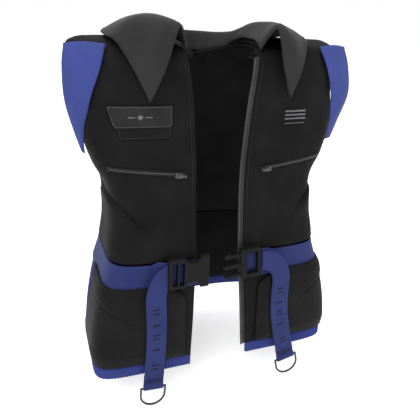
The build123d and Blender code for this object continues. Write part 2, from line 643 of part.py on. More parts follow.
# Rear ring on a short tab at the middle of the back hem.
REAR_BAR = Vector(0, 125.2, -503)
REAR_TAB_Y = 122.2
rear_plane = Plane((0, REAR_TAB_Y, REAR_BAR.Z), x_dir=(-1, 0, 0), z_dir=(0, 1, 0))
strap("rear_ring_tab", rear_plane, [(0, 62), (0, 1)], TAIL_WIDTH, REAR_BAR, Vector(-1, 0, 0))
ring("d_ring_rear", REAR_BAR, Vector(-1, 0, 0), Vector(0, 0, -1))
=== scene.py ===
"""Looks of the open-fronted flotation vest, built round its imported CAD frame.

Garment geometry is worked out in millimetres on the vest's trunk and scaled to metres when a mesh
is made. Frame: +Z up, the chest faces -Y, +X is the wearer's left.
"""
import json
import math

import bmesh
import bpy
import numpy as np
from mathutils import Matrix, Vector, noise


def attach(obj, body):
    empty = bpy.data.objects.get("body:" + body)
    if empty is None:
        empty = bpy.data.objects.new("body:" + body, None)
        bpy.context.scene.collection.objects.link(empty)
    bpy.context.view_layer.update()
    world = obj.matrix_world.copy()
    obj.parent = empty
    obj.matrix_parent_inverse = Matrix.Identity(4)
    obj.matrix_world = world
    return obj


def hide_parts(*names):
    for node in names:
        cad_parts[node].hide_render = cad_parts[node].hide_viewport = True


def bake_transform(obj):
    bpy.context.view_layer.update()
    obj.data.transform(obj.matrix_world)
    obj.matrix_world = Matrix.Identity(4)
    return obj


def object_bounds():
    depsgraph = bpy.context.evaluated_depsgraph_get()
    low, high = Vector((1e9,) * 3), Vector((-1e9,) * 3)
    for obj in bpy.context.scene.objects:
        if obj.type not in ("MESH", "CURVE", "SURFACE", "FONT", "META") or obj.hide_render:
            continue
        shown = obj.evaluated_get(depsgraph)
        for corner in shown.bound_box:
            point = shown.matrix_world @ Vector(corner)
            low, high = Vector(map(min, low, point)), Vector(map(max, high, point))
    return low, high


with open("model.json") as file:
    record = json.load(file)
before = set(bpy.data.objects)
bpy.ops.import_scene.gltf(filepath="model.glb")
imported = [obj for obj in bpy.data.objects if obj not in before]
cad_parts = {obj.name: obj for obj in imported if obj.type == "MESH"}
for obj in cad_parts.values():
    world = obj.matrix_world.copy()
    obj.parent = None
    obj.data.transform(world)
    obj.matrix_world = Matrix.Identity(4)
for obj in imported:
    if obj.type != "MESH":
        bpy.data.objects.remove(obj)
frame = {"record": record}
CAD_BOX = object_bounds()
MM = 0.001

# ---- the vest's own dimensions, mm
HEM_Z = -520.0
RIB_TOP = -498.0
BELT_LOW = -361.0
BELT_HIGH = -315.0
WAIST_Z = -328.0        # linings end and skirt panels start here, behind the belt
DEPTH = 12.0            # shell, foam and lining together
SHELL_INNER = -10.3     # inner face of shell and foam, from the skin
LINING_OUTER, LINING_INNER = -10.5, -12.6
WEBBING = 1.9           # thickness of the webbing
SIDES = {"right": -1, "left": 1}
# Trunk: height, half width, front depth, back depth, squareness in front and behind.
LEVELS = np.array([
    (-520, 217, 127, 120, 10, 3),
    (-499, 216, 126, 119, 10, 3),
    (-427, 208.5, 123, 116, 9, 2.7),
    (-361, 194.5, 118, 112, 7.8, 2.6),
    (-313, 181.5, 114, 110, 7, 2.3),
    (-260, 177, 107, 108, 6.4, 2.4),
    (-204, 178, 98, 105, 5.7, 3.1),
    (-160, 196, 94, 103, 5.8, 3.6),
    (-114, 210, 88, 99, 5.6, 3.7),
    (-60, 213, 83, 92, 4.2, 3.4),
    (-20, 219, 78, 79, 3.6, 3.1),
    (5, 219, 66, 60, 2.9, 2.6),
    (14, 208, 40, 37, 2.4, 2.2),
    (17, 198, 0.5, 0.5, 2, 2),
], float)
# The chest side of the skirt is this share wider, fading out up to a height.
FLARE, FLARE_TOP = 0.03, -240.0
# Distance of each front's centre edge from the middle plane at each height.
RIGHT_EDGE = np.array([(-520, 54), (-499, 53), (-361, 47), (-313, 45),
                       (-240, 44), (-163, 43), (-65, 47), (30, 60)], float)
LEFT_EDGE = np.array([(-520, 47), (-499, 46), (-361, 36), (-313, 32),
                      (-240, 32.5), (-163, 34.5), (-65, 45.5), (30, 60)], float)
# Neck opening seen from above, from the middle of the back to the middle in front.
NECK_EDGE = np.array([(0, 70), (30, 65), (48, 56), (61, 41),
                      (67, 14), (66, -36), (58, -62), (0, -84)], float)
NECK_BACK = 70.0
ARM_Y, ARM_Z, ARM_HALF_Y, ARM_HALF_Z = 5.0, -80.0, 58.0, 80.0
SIDE_RIB_FRONT, SIDE_RIB_BACK = -14.0, 18.0


# ---- trunk surface
def cubic(values, where):
    """Catmull-Rom through a column of values at whole numbers."""
    last = len(values) - 1
    i = np.clip(np.floor(where).astype(int), 0, last - 1)
    t = where - i
    p0, p1 = values[np.clip(i - 1, 0, last)], values[i]
    p2, p3 = values[i + 1], values[np.clip(i + 2, 0, last)]
    m1, m2 = (p2 - p0) / 2, (p3 - p1) / 2
    t2, t3 = t * t, t * t * t
    return (2 * t3 - 3 * t2 + 1) * p1 + (t3 - 2 * t2 + t) * m1 + (3 * t2 - 2 * t3) * p2 + (t3 - t2) * m2


def spline(table, where):
    """Smooth line through the rows of a table, read at row numbers."""
    return np.stack([cubic(table[:, k], where) for k in range(table.shape[1])], 1)


def unit(vectors):
    """Vectors scaled to length one along their last axis."""
    return vectors / np.maximum(np.linalg.norm(vectors, axis=-1, keepdims=True), 1e-9)


def run_along(points):
    """Distance travelled at each point of a line."""
    return np.concatenate([[0], np.cumsum(np.linalg.norm(np.diff(points, axis=0), axis=1))])


class Trunk:
    """Dense table of the trunk's left half: rows w up the body, columns s from front to back centre."""

    ROWS_PER_LEVEL = 24
    COLUMNS = 321
    TURNS = 2401            # points round each outline before it is spaced evenly

    def __init__(self):
        self.w = np.linspace(0, len(LEVELS) - 1, (len(LEVELS) - 1) * self.ROWS_PER_LEVEL + 1)
        z, half, front, back, ahead, behind = (cubic(LEVELS[:, k], self.w) for k in range(6))
        turn = np.linspace(-math.pi / 2, math.pi / 2, self.TURNS)
        c, s = np.cos(turn), np.sin(turn)
        rows, self.length = [], []
        for k in range(len(self.w)):
            depth, power = np.where(s >= 0, back[k], front[k]), np.where(s >= 0, behind[k], ahead[k])
            flare = float(np.interp(z[k], (BELT_LOW, FLARE_TOP), (FLARE, 0.0)))
            x = half[k] * np.abs(c) ** (2 / power) * (1 + flare * np.clip(-s, 0, 1))
            y = depth * np.abs(s) ** (2 / power) * np.sign(s)
            run = np.concatenate([[0], np.cumsum(np.hypot(np.diff(x), np.diff(y)))])
            even = np.linspace(0, run[-1], self.COLUMNS)
            rows.append(np.stack([np.interp(even, run, x), np.interp(even, run, y),
                                  np.full_like(even, z[k])], 1))
            self.length.append(run[-1])
        self.points = np.array(rows)
        self.length = np.array(self.length)
        self.z = z
        self.normal = unit(np.cross(np.gradient(self.points, axis=1), np.gradient(self.points, axis=0)))

    def w_of(self, z):
        """Row coordinate at a height."""
        return np.interp(z, self.z, self.w)

    def row(self, w):
        """The outline at a row coordinate, and its length."""
        k = min(max(w * self.ROWS_PER_LEVEL, 0), len(self.w) - 1.001)
        i = int(k)
        t = k - i
        return (self.points[i] * (1 - t) + self.points[i + 1] * t,
                self.length[i] * (1 - t) + self.length[i + 1] * t)

    def at(self, w, s, grow=0.0):
        """Points (left side) at row coordinates w and shares s of the half outline, grown outwards."""
        k = np.clip(np.asarray(w, float) * self.ROWS_PER_LEVEL, 0, len(self.w) - 1.001)
        c = np.clip(np.asarray(s, float) * (self.COLUMNS - 1), 0, self.COLUMNS - 1.001)
        i, j = k.astype(int), c.astype(int)
        t, u = (k - i)[..., None], (c - j)[..., None]

        def mix(table):
            low = table[i, j] * (1 - u) + table[i, j + 1] * u
            high = table[i + 1, j] * (1 - u) + table[i + 1, j + 1] * u
            return low * (1 - t) + high * t

        return mix(self.points) + unit(mix(self.normal)) * np.asarray(grow, float)[..., None]

    def s_front(self, w, x):
        """Share of the outline where the front reaches a half width x."""
        line, _ = self.row(w)
        widest = int(np.argmax(line[:, 0]))
        return float(np.interp(x, line[:widest + 1, 0], np.arange(widest + 1))) / (self.COLUMNS - 1)

    def s_back(self, w, x):
        """Share of the outline where the back comes in to a half width x."""
        line, _ = self.row(w)
        widest = int(np.argmax(line[:, 0]))
        xs = line[widest:, 0][::-1]
        return 1 - float(np.interp(x, xs, np.arange(len(xs)))) / (self.COLUMNS - 1)

    def s_depth(self, w, y):
        """Share of the outline where it passes a depth y."""
        line, _ = self.row(w)
        return float(np.interp(y, line[:, 1], np.arange(self.COLUMNS))) / (self.COLUMNS - 1)


TRUNK = Trunk()
NECK_LINE = spline(NECK_EDGE, np.linspace(0, len(NECK_EDGE) - 1, 141))
TOP_W = len(LEVELS) - 1.0


def front_edge(side, z):
    """Distance of a front's centre edge from the middle plane."""
    edge = LEFT_EDGE if side > 0 else RIGHT_EDGE
    return float(np.interp(z, edge[:, 0], edge[:, 1]))


def height(w):
    """Height of a row."""
    return float(np.interp(w, TRUNK.w, TRUNK.z))


def neck_x(y):
    """Half width of the neck hole at a depth."""
    return float(np.interp(y, NECK_LINE[::-1, 1], NECK_LINE[::-1, 0]))


def arm_reach(z):
    """Half of the armhole's width, front to back, at a height; nothing outside it."""
    share = (z - ARM_Z) / ARM_HALF_Z
    return ARM_HALF_Y * math.sqrt(max(0.0, 1 - share * share))


def inner_front(side, shift=0.0):
    """Inner limit of a front, as a function of the row: its centre edge, then the neck hole."""
    def limit(w):
        z = height(w)
        x = front_edge(side, z) + shift
        if z > 0:
            line, _ = TRUNK.row(w)
            for _ in range(4):
                y = float(np.interp(x, line[:60, 0], line[:60, 1]))
                x = max(neck_x(y), 30.0)
        return TRUNK.s_front(w, x)
    return limit


def s_inner_back(w):
    """Inner limit of the back: its centre line, then the neck hole."""
    line, _ = TRUNK.row(w)
    if line[-1, 1] >= NECK_BACK:
        return 1.0
    x = 20.0
    for _ in range(6):
        y = float(np.interp(x, line[::-1, 0][:120], line[::-1, 1][:120]))
        x = neck_x(y)
    return TRUNK.s_back(w, x)


def s_side(w, front):
    """Outer limit of a front or of the back: the side seam, or the edge of the armhole."""
    z = height(w)
    reach = arm_reach(z)
    if reach <= 0:
        return TRUNK.s_depth(w, 0.0)
    y = ARM_Y - reach if front else ARM_Y + reach
    y = min(y, 0.0) if front else max(y, 0.0)
    return TRUNK.s_depth(w, y)


# ---- mesh helpers
def linked(name, data):
    """An object in the scene that shows a mesh, a light or a camera."""
    obj = bpy.data.objects.new(name, data)
    bpy.context.scene.collection.objects.link(obj)
    return obj


def metre_mesh(name, verts_mm, faces):
    """A mesh in metres from millimetre points."""
    mesh = bpy.data.meshes.new(name)
    mesh.from_pydata([tuple(float(c) * MM for c in v) for v in verts_mm], [], faces)
    return mesh


def new_object(name, verts_mm, faces, smooth=True):
    """A mesh object from millimetre points, with its doubles merged."""
    mesh = metre_mesh(name, verts_mm, faces)
    work = bmesh.new()
    work.from_mesh(mesh)
    bmesh.ops.remove_doubles(work, verts=work.verts, dist=0.00002)
    bmesh.ops.dissolve_degenerate(work, edges=work.edges, dist=0.00001)
    bmesh.ops.recalc_face_normals(work, faces=work.faces)
    work.to_mesh(mesh)
    work.free()
    mesh.polygons.foreach_set("use_smooth", [smooth] * len(mesh.polygons))
    return linked(name, mesh)


def welded(name, objects):
    """One object from several, joined where their points meet."""
    work = bmesh.new()
    for obj in objects:
        work.from_mesh(obj.data)
        bpy.data.objects.remove(obj)
    bmesh.ops.remove_doubles(work, verts=work.verts, dist=0.0004)
    bmesh.ops.recalc_face_normals(work, faces=work.faces)
    mesh = bpy.data.meshes.new(name)
    work.to_mesh(mesh)
    work.free()
    mesh.polygons.foreach_set("use_smooth", [True] * len(mesh.polygons))
    return linked(name, mesh)


def spaced(total, step, edge):
    """Distances across a panel: close together in the rounded rim, even between."""
    rim = [edge * (1 - math.cos(k * math.pi / 8)) for k in range(4)]
    count = max(2, round((total - 2 * edge) / step))
    middle = list(np.linspace(edge, total - edge, count + 1))
    return np.array(rim + middle + [total - d for d in reversed(rim)])


def two_skins(rows, columns):
    """Faces of two grids of points, the second facing the other way."""
    faces, total = [], rows * columns
    for i in range(rows - 1):
        for j in range(columns - 1):
            a, b = i * columns + j, i * columns + j + 1
            c, d = b + columns, a + columns
            faces += [(a, b, c, d), (d + total, c + total, b + total, a + total)]
    return faces


def rolled(nearest, edge):
    """Share of the full thickness at a distance from the rim: a quarter round of width edge."""
    return np.sqrt(np.clip(1 - (1 - np.clip(nearest / edge, 0, 1)) ** 2, 0, 1))


COARSE = 60             # rows along which a panel's height is measured


def panel(name, side, w_low, w_high, s_near, s_far, outer, inner, edge=4.0, step=5.0, bump=None,
          far_open=None, across=None):
    """A closed, soft-edged piece of cloth on the trunk between two rows and two limits.

    outer and inner are how far its faces stand from the skin, and bump adds to the outer face. Every
    edge is rolled, but for the far edge in the rows where far_open(w) is true. across is the column
    spacing where it differs from step.
    """
    coarse = np.linspace(w_low, w_high, COARSE)
    centre = (w_low + w_high) / 2
    climb = run_along(TRUNK.at(coarse, np.full(COARSE, (s_near(centre) + s_far(centre)) / 2)))
    v_mm = spaced(climb[-1], step, edge)
    rows = np.interp(v_mm, climb, coarse)
    lengths = [abs(s_far(w) - s_near(w)) * TRUNK.row(w)[1] for w in rows]
    u_mm = spaced(max(lengths), across or step, edge)
    share = u_mm / u_mm[-1]
    w = np.repeat(rows[:, None], len(share), 1)
    s = np.array([[s_near(r) + (s_far(r) - s_near(r)) * f for f in share] for r in rows])
    length = np.array(lengths)[:, None]
    to_end = np.minimum(v_mm, v_mm[-1] - v_mm)[:, None]
    nearest = np.minimum(share[None, :] * length, to_end)
    to_far = np.minimum((1 - share)[None, :] * length, nearest)
    still_open = np.array([bool(far_open and far_open(r)) for r in rows])[:, None]
    nearest = np.where(still_open, nearest, to_far)
    roll = rolled(nearest, edge)
    middle = (outer + inner) / 2
    skin = TRUNK.at(w, s)
    extra = bump(skin[..., 0], skin[..., 2], skin[..., 1], nearest) if bump else 0
    front = TRUNK.at(w, s, middle + (outer - middle) * roll + extra * roll)
    back = TRUNK.at(w, s, middle + (inner - middle) * roll)
    verts = np.concatenate([front.reshape(-1, 3), back.reshape(-1, 3)])
    verts[:, 0] *= side
    return new_object(name, verts, two_skins(*w.shape))


def finish_piece(obj, body, slot, material, nodes=(), fill=None):
    """Material, body and the CAD nodes that a piece stands for; slot is not used."""
    obj.data.materials.clear()
    obj.data.materials.append(material)
    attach(obj, body)
    if nodes:
        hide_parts(*nodes)
    return obj


# ---- materials
def material(name, colour, rough, scale, bump, woven=True, sheen=0.0, metal=0.0, mottling=0.25,
             gloss=0.16):
    """A procedural finish: base colour broken up by noise, fine relief from a weave or a grain."""
    mat = bpy.data.materials.new(name)
    mat.use_nodes = True
    tree = mat.node_tree

    def fill(made, inputs):
        for key, value in inputs.items():
            if isinstance(value, bpy.types.NodeSocket):
                tree.links.new(value, made.inputs[key])
            else:
                made.inputs[key].default_value = value

    def node(kind, inputs, **settings):
        made = tree.nodes.new("ShaderNode" + kind)
        for key, value in settings.items():
            setattr(made, key, value)
        fill(made, inputs)
        return made

    place = node("TexCoord", {}).outputs["Object"]
    fine = node("TexNoise", {"Vector": place, "Scale": scale * 0.6, "Detail": 3.0}).outputs["Fac"]
    broad = node("TexNoise", {"Vector": place, "Scale": 22.0, "Detail": 4.0}).outputs["Fac"]
    ramp = node("ValToRGB", {"Fac": broad})
    for element, position, share in zip(ramp.color_ramp.elements, (0.3, 0.7), (1 - mottling, 1 + mottling)):
        element.position = position
        element.color = (*(min(1.0, c * share) for c in colour), 1)
    base, relief = ramp.outputs["Color"], fine
    if woven:
        warp, weft = (node("TexWave", {"Vector": place, "Scale": scale, "Distortion": 0.6, "Detail": 1.0},
                           bands_direction=axis).outputs["Fac"] for axis in ("X", "Z"))
        relief = node("Math", {0: warp, 1: weft}, operation="MULTIPLY").outputs[0]
        base = node("Mix", {"Factor": 0.35, "A": base, "B": relief},
                    data_type="RGBA", blend_type="MULTIPLY").outputs["Result"]
    rough_map = node("MapRange", {"Value": fine, "To Min": max(0.05, rough - 0.08),
                                  "To Max": min(1.0, rough + 0.08)})
    raised = node("Bump", {"Strength": bump, "Distance": 0.0006, "Height": relief})
    fill(tree.nodes["Principled BSDF"], {
        "Metallic": metal, "Specular IOR Level": gloss, "Sheen Weight": sheen, "Sheen Roughness": 0.5,
        "Base Color": base, "Roughness": rough_map.outputs["Result"], "Normal": raised.outputs["Normal"]})
    return mat


SHELL_CLOTH = material("black_shell_cloth", (0.0082, 0.0082, 0.0086), 0.66, 260, 0.3, sheen=0.005,
                       gloss=0.05)
# The collar is black cloth like the shell; its colour is set lighter than the shell's to paint the
# highlight that the light from above puts on it.
COLLAR_CLOTH_PAINTED_HIGHLIGHT = material("black_collar_cloth_painted_highlight", (0.0205, 0.0205, 0.0210), 0.52, 260, 0.3, sheen=0.01,
                        gloss=0.1)
LINING_CLOTH = material("black_lining_cloth", (0.0118, 0.0118, 0.0121), 0.7, 320, 0.2, gloss=0.08)
POCKET_CLOTH = material("black_pocket_cloth", (0.0080, 0.0080, 0.0083), 0.62, 240, 0.3,
                        sheen=0.005, gloss=0.06)
FLAP_CLOTH = material("grey_flap_cloth", (0.0190, 0.0190, 0.0195), 0.6, 300, 0.3, sheen=0.01,
                      gloss=0.08)
PIPING = material("grey_piping", (0.045, 0.045, 0.046), 0.55, 500, 0.3, gloss=0.1)
CAP_CLOTH = material("blue_cap_cloth", (0.043, 0.060, 0.230), 0.62, 300, 0.3, sheen=0.02,
                     mottling=0.1, gloss=0.06)
BELT_WEB = material("blue_webbing_weave", (0.024, 0.034, 0.138), 0.62, 420, 0.6, sheen=0.02,
                    mottling=0.1, gloss=0.08)
RIB_KNIT = material("blue_rib_knit", (0.036, 0.050, 0.215), 0.78, 380, 0.4, sheen=0.03,
                    mottling=0.12, gloss=0.05)
ZIP_TAPE = material("grey_zip_tape", (0.036, 0.036, 0.037), 0.65, 600, 0.4, gloss=0.08)
ZIP_COIL = material("zip_coil_nylon", (0.050, 0.050, 0.052), 0.4, 700, 0.2, woven=False, gloss=0.3)
SLIDER_METAL = material("zip_slider_metal", (0.060, 0.060, 0.063), 0.4, 300, 0.1, woven=False,
                        metal=0.7, gloss=0.3)
BUCKLE_PLASTIC = material("buckle_acetal", (0.0070, 0.0070, 0.0074), 0.45, 900, 0.15, woven=False,
                          mottling=0.08,
                          gloss=0.06)
RING_STEEL = material("ring_steel", (0.045, 0.045, 0.048), 0.35, 400, 0.05, woven=False, metal=0.9,
                      mottling=0.1,
                      gloss=0.4)
THREAD = material("grey_thread", (0.026, 0.026, 0.028), 0.7, 900, 0.3)
BLUE_THREAD = material("blue_thread", (0.045, 0.060, 0.215), 0.7, 900, 0.3)
MARK = material("generic_mark", (0.125, 0.125, 0.130), 0.6, 700, 0.2)
DARK_MARK = material("woven_dash", (0.008, 0.010, 0.028), 0.7, 700, 0.2)


# ---- camera, light, floor
CAMERA_PLACE, CAMERA_LENS = (-0.281, -0.766, 0.075), 41.76
CAMERA_TURN, CAMERA_PITCH, CAMERA_ROLL = (math.radians(angle) for angle in (-21.3, 23.6, 2.8))
FLOOR_REACH, FLOOR_GAP = 6.0, 0.004


def make_camera():
    """Camera at the view's angle: left of the front, looking down."""
    turn, pitch, roll = CAMERA_TURN, CAMERA_PITCH, CAMERA_ROLL
    back = Vector((math.sin(turn) * math.cos(pitch), -math.cos(turn) * math.cos(pitch), math.sin(pitch)))
    right = (-back).cross(Vector((0, 0, 1))).normalized()
    up = right.cross(-back)
    right, up = right * math.cos(roll) + up * math.sin(roll), up * math.cos(roll) - right * math.sin(roll)
    data = bpy.data.cameras.new("camera")
    data.sensor_width = 36.0
    data.lens = CAMERA_LENS
    data.clip_end = 50.0
    camera = linked("camera", data)
    axes = Matrix((right, up, back)).transposed().to_4x4()
    camera.matrix_world = Matrix.Translation(Vector(CAMERA_PLACE)) @ axes
    bpy.context.scene.camera = camera


def area_light(name, place, size, power, aim=(0, 0, -0.25)):
    """A soft square light turned to the vest's middle."""
    data = bpy.data.lights.new(name, "AREA")
    data.energy = power
    data.size = size
    light = linked(name, data)
    light.location = place
    light.rotation_euler = (Vector(aim) - Vector(place)).to_track_quat("-Z", "Y").to_euler()


def make_studio():
    """Pale floor, pale surroundings and soft light from above the wearer's right."""
    world = bpy.data.worlds.new("studio")
    bpy.context.scene.world = world
    world.use_nodes = True
    world.node_tree.nodes["Background"].inputs["Color"].default_value = (1, 1, 1, 1)
    world.node_tree.nodes["Background"].inputs["Strength"].default_value = 1.0
    mesh = bpy.data.meshes.new("floor")
    level = CAD_BOX[0][2] - FLOOR_GAP
    corners = [(a * FLOOR_REACH, b * FLOOR_REACH, level) for a, b in ((-1, -1), (1, -1), (1, 1), (-1, 1))]
    mesh.from_pydata(corners, [], [(0, 1, 2, 3)])
    floor = linked("floor", mesh)
    pale = bpy.data.materials.new("pale_floor")
    pale.use_nodes = True
    shader = pale.node_tree.nodes["Principled BSDF"]
    shader.inputs["Base Color"].default_value = (0.9, 0.9, 0.9, 1)
    shader.inputs["Roughness"].default_value = 0.9
    shader.inputs["Emission Color"].default_value = (1, 1, 1, 1)
    shader.inputs["Emission Strength"].default_value = 0.45
    mesh.materials.append(pale)
    area_light("key", (-1.1, -1.3, 1.5), 1.4, 34)
    area_light("fill", (1.3, -1.4, 0.5), 1.6, 9)
    area_light("top", (0.0, 0.2, 1.8), 1.6, 18)
    bpy.context.scene.view_settings.view_transform = "Standard"


make_camera()
make_studio()


# ---- upper body
def fade(value, start, stop):
    """Smooth step from 0 at start to 1 at stop."""
    t = np.clip((np.asarray(value, float) - start) / (stop - start), 0, 1)
    return t * t * (3 - 2 * t)


def groove(distance, middle, depth, width):
    """A sewn or pressed line: a dip whose middle is at a distance; a negative depth makes a ridge."""
    return -depth * np.exp(-((distance - middle) / width) ** 2)


def crease(x, z, start, stop, depth, width, lift, reach):
    """A pressed fold from start to stop in the front view, with cloth that stands proud below it."""
    sx, sz = start
    dx, dz = stop[0] - sx, stop[1] - sz
    run = math.hypot(dx, dz)
    along = ((x - sx) * dx + (z - sz) * dz) / run ** 2
    below = ((x - sx) * -dz + (z - sz) * dx) / run
    window = fade(along, -0.3, 0.0) * (1 - fade(along, 0.55, 1.1))
    step = lift * fade(below, 0, 7) * np.exp(-np.clip(below, 0, None) / reach) * window
    return groove(below, 0, depth, width) * window + step


def ripple(x, z, seed, size, amount):
    """Gentle unevenness of sewn cloth."""
    flat = np.stack([np.ravel(x), np.ravel(z)], 1) / size
    values = [noise.noise(Vector((a, b, seed))) for a, b in flat]
    return np.reshape(values, np.shape(x)) * amount


SLASH_FOLD = ((184, -203), (118, -270))         # seen from the front, on each upper front
POCKET_FOLD = ((214, -372), (128, -432))        # the same on each skirt pocket
BOXY_FROM, BOXY_TO = 262, 306                   # depth below the origin over which the lower end fills out
YOKE_Z, PRINCESS_X = -62, 92


def front_bump(x, z, y, nearest):
    """Relief of an upper front: slash fold, boxy lower end, edge stitching and soft unevenness."""
    slash = crease(x, z, *SLASH_FOLD, 4.2, 2.0, 4.5, 55)
    boxy = 4.0 * fade(-z, BOXY_FROM, BOXY_TO)
    stitch = groove(nearest, 9, 0.9, 1.3) * (z < -20)
    return slash + boxy + stitch + ripple(x, z, 3.1, 60, 1.6) + ripple(x, z, 8.4, 22, 0.5)


def back_bump(x, z, y, nearest):
    """Relief of the back: a yoke seam, a seam down each side of it, the boxy lower end."""
    yoke = groove(z, YOKE_Z, 1.6, 1.8)
    princess = groove(x - PRINCESS_X - 0.05 * (z + 200), 0, 1.4, 1.8) * (z < YOKE_Z - 2)
    boxy = 3.0 * fade(-z, BOXY_FROM, BOXY_TO)
    return yoke + princess + boxy + ripple(x, z, 5.7, 55, 1.6) + ripple(x, z, 2.2, 22, 0.5)


def always(w):
    """An edge that stays open in every row."""
    return True


def at_depth(y):
    """A panel limit at a depth, front to back."""
    return lambda w: TRUNK.s_depth(w, y)


def round_back(name, low, high, near, far, outer, inner, far_open=always, **look):
    """A piece that goes round the back: two panels, near(side) to far, welded down the centre line."""
    return welded(name, [panel(f"{name}_{side}", side, low, high, near(side), far, outer, inner,
                               far_open=far_open, **look) for side in (-1, 1)])


W_HEM, W_RIB = TRUNK.w_of(HEM_Z), TRUNK.w_of(RIB_TOP)
W_BELT_LOW, W_BELT_HIGH = TRUNK.w_of(BELT_LOW), TRUNK.w_of(BELT_HIGH)
W_WAIST = TRUNK.w_of(WAIST_Z)
NECK_W = next(w for w in np.arange(TOP_W - 2.5, TOP_W, 0.01) if s_inner_back(w) < 1.0)


def make_fronts():
    """Padded shell and lining of each front."""
    for word, side in SIDES.items():
        shell = panel(f"front_panel_{word}", side, W_BELT_HIGH + 0.03, TOP_W, inner_front(side),
                      lambda w: s_side(w, True), 0, SHELL_INNER, edge=5.5, step=3.2, bump=front_bump)
        finish_piece(shell, "vest", "shell_fabric", SHELL_CLOTH,
                     (f"front_shell_{word}", f"flotation_foam_{word}"), fill=0.7)
        lining = panel(f"front_lining_panel_{word}", side, W_WAIST, TOP_W, inner_front(side),
                       lambda w: s_side(w, True), LINING_OUTER, LINING_INNER, edge=2.0, step=8)
        finish_piece(lining, "vest", "lining_fabric", LINING_CLOTH, (f"front_lining_{word}",))


def make_back():
    """Padded shell and lining of the back, open along the centre line up to the neck."""
    for name, low, outer, inner, look, finish in (
            ("back_panel", W_BELT_HIGH + 0.03, 0, SHELL_INNER, dict(edge=5.5, bump=back_bump, step=5.0),
             ("shell_fabric", SHELL_CLOTH, ("back_shell", "flotation_foam_back"), 0.7)),
            ("back_lining_panel", W_WAIST, LINING_OUTER, LINING_INNER, dict(edge=2.0, step=8.0),
             ("lining_fabric", LINING_CLOTH, ("back_lining",), None))):
        piece = round_back(name, low, TOP_W, lambda side: lambda w: s_side(w, False), s_inner_back,
                           outer, inner, lambda w: w <= NECK_W + 0.02, **look)
        finish_piece(piece, "vest", *finish)


# ---- skirt, ribs, belt
RIB_PITCH = 5.2
HEM_LOOK = dict(edge=3, step=4, across=1.3)
POCKET_PAD_LOW, POCKET_PAD_HIGH = -494.0, -352.0
POCKET_NEAR, POCKET_SLANT = 66.0, 30.0
HEM_SHORT = 5.0         # the left hem rib stops this far from the front edge


def rib_bump(x, z, y, nearest):
    """Vertical knitted ribs."""
    dx, dy = (np.diff(v, axis=1, prepend=v[:, :1]) for v in (x, y))
    turn = np.cumsum(np.hypot(dx, dy), axis=1)
    return 2.2 * np.sin(math.pi * turn / RIB_PITCH) ** 2 - 0.8


def skirt_bump(x, z, y, nearest):
    """Edge stitching and soft unevenness of a skirt panel."""
    return groove(nearest, 7, 0.8, 1.2) + ripple(x, z, 1.3, 50, 1.2)


def pocket_bump(x, z, y, nearest):
    """A stuffed pocket: full upper half, slanted fold, flatter below it."""
    fold = crease(x, z, *POCKET_FOLD, 3.6, 2.2, -2.6, 70)
    full = 3.4 * fade(nearest, 0, 20)
    ridge = groove(x, 84, -1.6, 7)
    return full - 2.4 + fold + ridge + ripple(x, z, 6.6, 40, 1.5)


def make_skirt():
    """Skirt panels with their pockets, the knitted gussets between them and the hem bands."""
    for word, side in SIDES.items():
        skirt = panel(f"skirt_panel_{word}", side, W_RIB - 0.06, W_WAIST, inner_front(side),
                      at_depth(SIDE_RIB_FRONT), 0, -DEPTH, edge=5, bump=skirt_bump)
        finish_piece(skirt, "vest", "shell_fabric", SHELL_CLOTH, (f"skirt_{word}",), fill=0.5)
        gusset = panel(f"side_gusset_{word}", side, W_RIB, W_WAIST, at_depth(SIDE_RIB_FRONT),
                       at_depth(SIDE_RIB_BACK), -0.4, -DEPTH, edge=2, step=6, across=1.3,
                       bump=rib_bump)
        finish_piece(gusset, "vest", "rib_knit", RIB_KNIT, (f"side_rib_{word}",))
        hem = panel(f"hem_band_{word}", side, W_HEM, W_RIB, inner_front(side, HEM_SHORT * (side > 0)),
                    at_depth(0.0), -0.6, -DEPTH + 2, bump=rib_bump, **HEM_LOOK)
        finish_piece(hem, "vest", "rib_knit", RIB_KNIT, (f"hem_rib_{word}",))
        pocket = panel(f"skirt_pocket_pad_{word}", side,
                       TRUNK.w_of(POCKET_PAD_LOW), TRUNK.w_of(POCKET_PAD_HIGH),
                       lambda w: TRUNK.s_front(
                           w, POCKET_NEAR + POCKET_SLANT * fade(height(w), -390, POCKET_PAD_HIGH) ** 2),
                       at_depth(SIDE_RIB_FRONT - 3), 8.0, 0.5, edge=9, step=3.2,
                       bump=pocket_bump)
        finish_piece(pocket, "vest", "shell_fabric", POCKET_CLOTH, (f"skirt_pocket_{word}",), fill=0.8)
    back = round_back("skirt_panel_back", W_RIB, W_WAIST, lambda side: at_depth(SIDE_RIB_BACK),
                      lambda w: 1.0, 0, -DEPTH, edge=5, bump=skirt_bump)
    finish_piece(back, "vest", "shell_fabric", SHELL_CLOTH, ("skirt_back",), fill=0.5)
    band = round_back("hem_band_back", W_HEM, W_RIB, lambda side: at_depth(0.0), lambda w: 1.0,
                      -0.6, -DEPTH + 2, bump=rib_bump, **HEM_LOOK)
    finish_piece(band, "vest", "rib_knit", RIB_KNIT, ("hem_rib_back",))


BELT_SHORT = 4.0        # the webbing stops this far from the left front's edge


def belt_bump(x, z, y, nearest):
    """The webbing's sewn edge."""
    return groove(nearest, 3.0, 0.5, 0.8)


def make_belt():
    """One length of webbing round the back, from front edge to front edge."""
    belt = round_back("waist_webbing", W_BELT_LOW, W_BELT_HIGH,
                      lambda side: inner_front(side, BELT_SHORT if side > 0 else 0.0), lambda w: 1.0,
                      2.6, 0.4, edge=1.0, step=4, bump=belt_bump)
    finish_piece(belt, "vest", "blue_webbing", BELT_WEB, ("waist_belt",))


# ---- lofted sheets
def spline_rows(stations, count):
    """Stations of points, smoothly multiplied along their order."""
    table = np.array(stations, float)
    where = np.linspace(0, len(table) - 1, count)
    return np.stack([spline(table[:, k], where) for k in range(table.shape[1])], 1)


